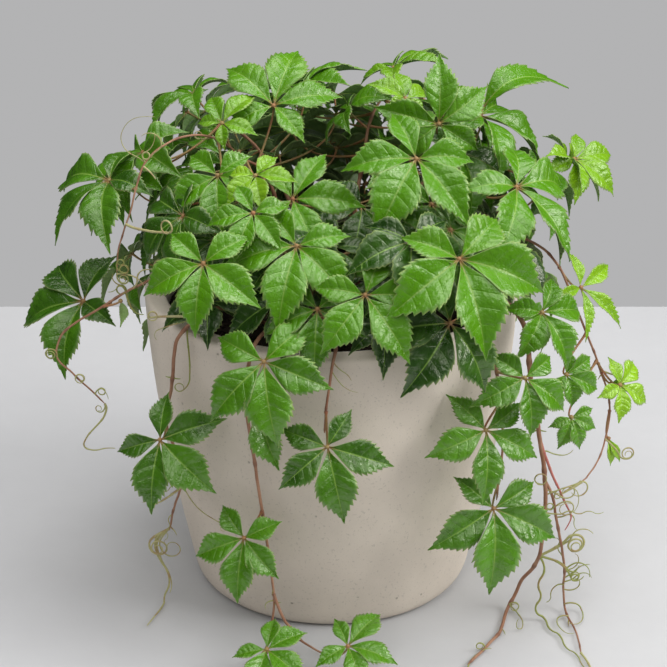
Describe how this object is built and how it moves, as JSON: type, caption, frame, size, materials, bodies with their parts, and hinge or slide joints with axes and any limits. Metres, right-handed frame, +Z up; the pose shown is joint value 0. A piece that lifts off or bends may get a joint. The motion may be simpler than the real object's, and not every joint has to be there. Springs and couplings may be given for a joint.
{
  "type": "potted creeper",
  "caption": "Bushy trailing creeper with five-leaflet leaves, thin reddish vines and curled tendrils, growing in soil in a round tapered concrete pot.",
  "frame": {"origin": "centre of the pot's flat underside", "axes": "+Z up, -Y towards the viewer's side, where the long front vines hang, +X to the viewer's right"},
  "size_m": [0.3744, 0.2962, 0.3266],
  "materials": {
    "pot": "cast concrete, matte, finely speckled, with a few small pits",
    "soil": "dark crumbly potting soil",
    "stem": "thin reddish-brown vine, slightly glossy, paler and greener at the young ends",
    "leaf": "mid-green leaf with a soft gloss, paler veins and a paler underside",
    "tendril": "thin pale yellow-green tendril"
  },
  "bodies": {
    "root": {"leaf_back_1": "leaf", "leaf_back_2": "leaf", "leaf_back_3": "leaf", "leaf_back_4": "leaf", "leaf_back_5": "leaf", "leaf_back_6": "leaf", "leaf_crown_1": "leaf", "leaf_crown_2": "leaf", "leaf_crown_3": "leaf", "leaf_crown_4": "leaf", "leaf_crown_5": "leaf", "leaf_crown_6": "leaf", "leaf_crown_7": "leaf", "leaf_crown_8": "leaf", "leaf_crown_9": "leaf", "leaf_front_1": "leaf", "leaf_front_2": "leaf", "leaf_front_3": "leaf", "leaf_front_4": "leaf", "leaf_front_5": "leaf", "leaf_ground_1": "leaf", "leaf_ground_2": "leaf", "leaf_inner_1": "leaf", "leaf_inner_2": "leaf", "leaf_inner_3": "leaf", "leaf_inner_4": "leaf", "leaf_left_1": "leaf", "leaf_left_2": "leaf", "leaf_right_1": "leaf", "leaf_right_2": "leaf", "leaf_right_3": "leaf", "leaf_right_4": "leaf", "leaf_trailing_1": "leaf", "leaf_trailing_2": "leaf", "leaf_trailing_3": "leaf", "leaf_trailing_4": "leaf", "leaf_trailing_5": "leaf", "leaf_trailing_6": "leaf", "leaf_trailing_7": "leaf", "leaf_trailing_8": "leaf", "pot": "pot", "soil": "soil", "stem_back_left": "stem", "stem_back_right": "stem", "stem_front_left": "stem", "stem_front_right": "stem", "stem_left": "stem", "stem_right": "stem", "vine_back_left": "stem", "vine_back_right": "stem", "vine_front_runner": "stem", "vine_front_short": "stem", "vine_front_trailing": "stem", "vine_left_arch": "stem", "vine_left_reach": "stem", "vine_left_trailing": "stem", "vine_right_branch": "stem", "vine_right_long": "stem", "vine_right_outer": "stem", "vine_right_trailing": "stem"}
  },
  "joints": []
}
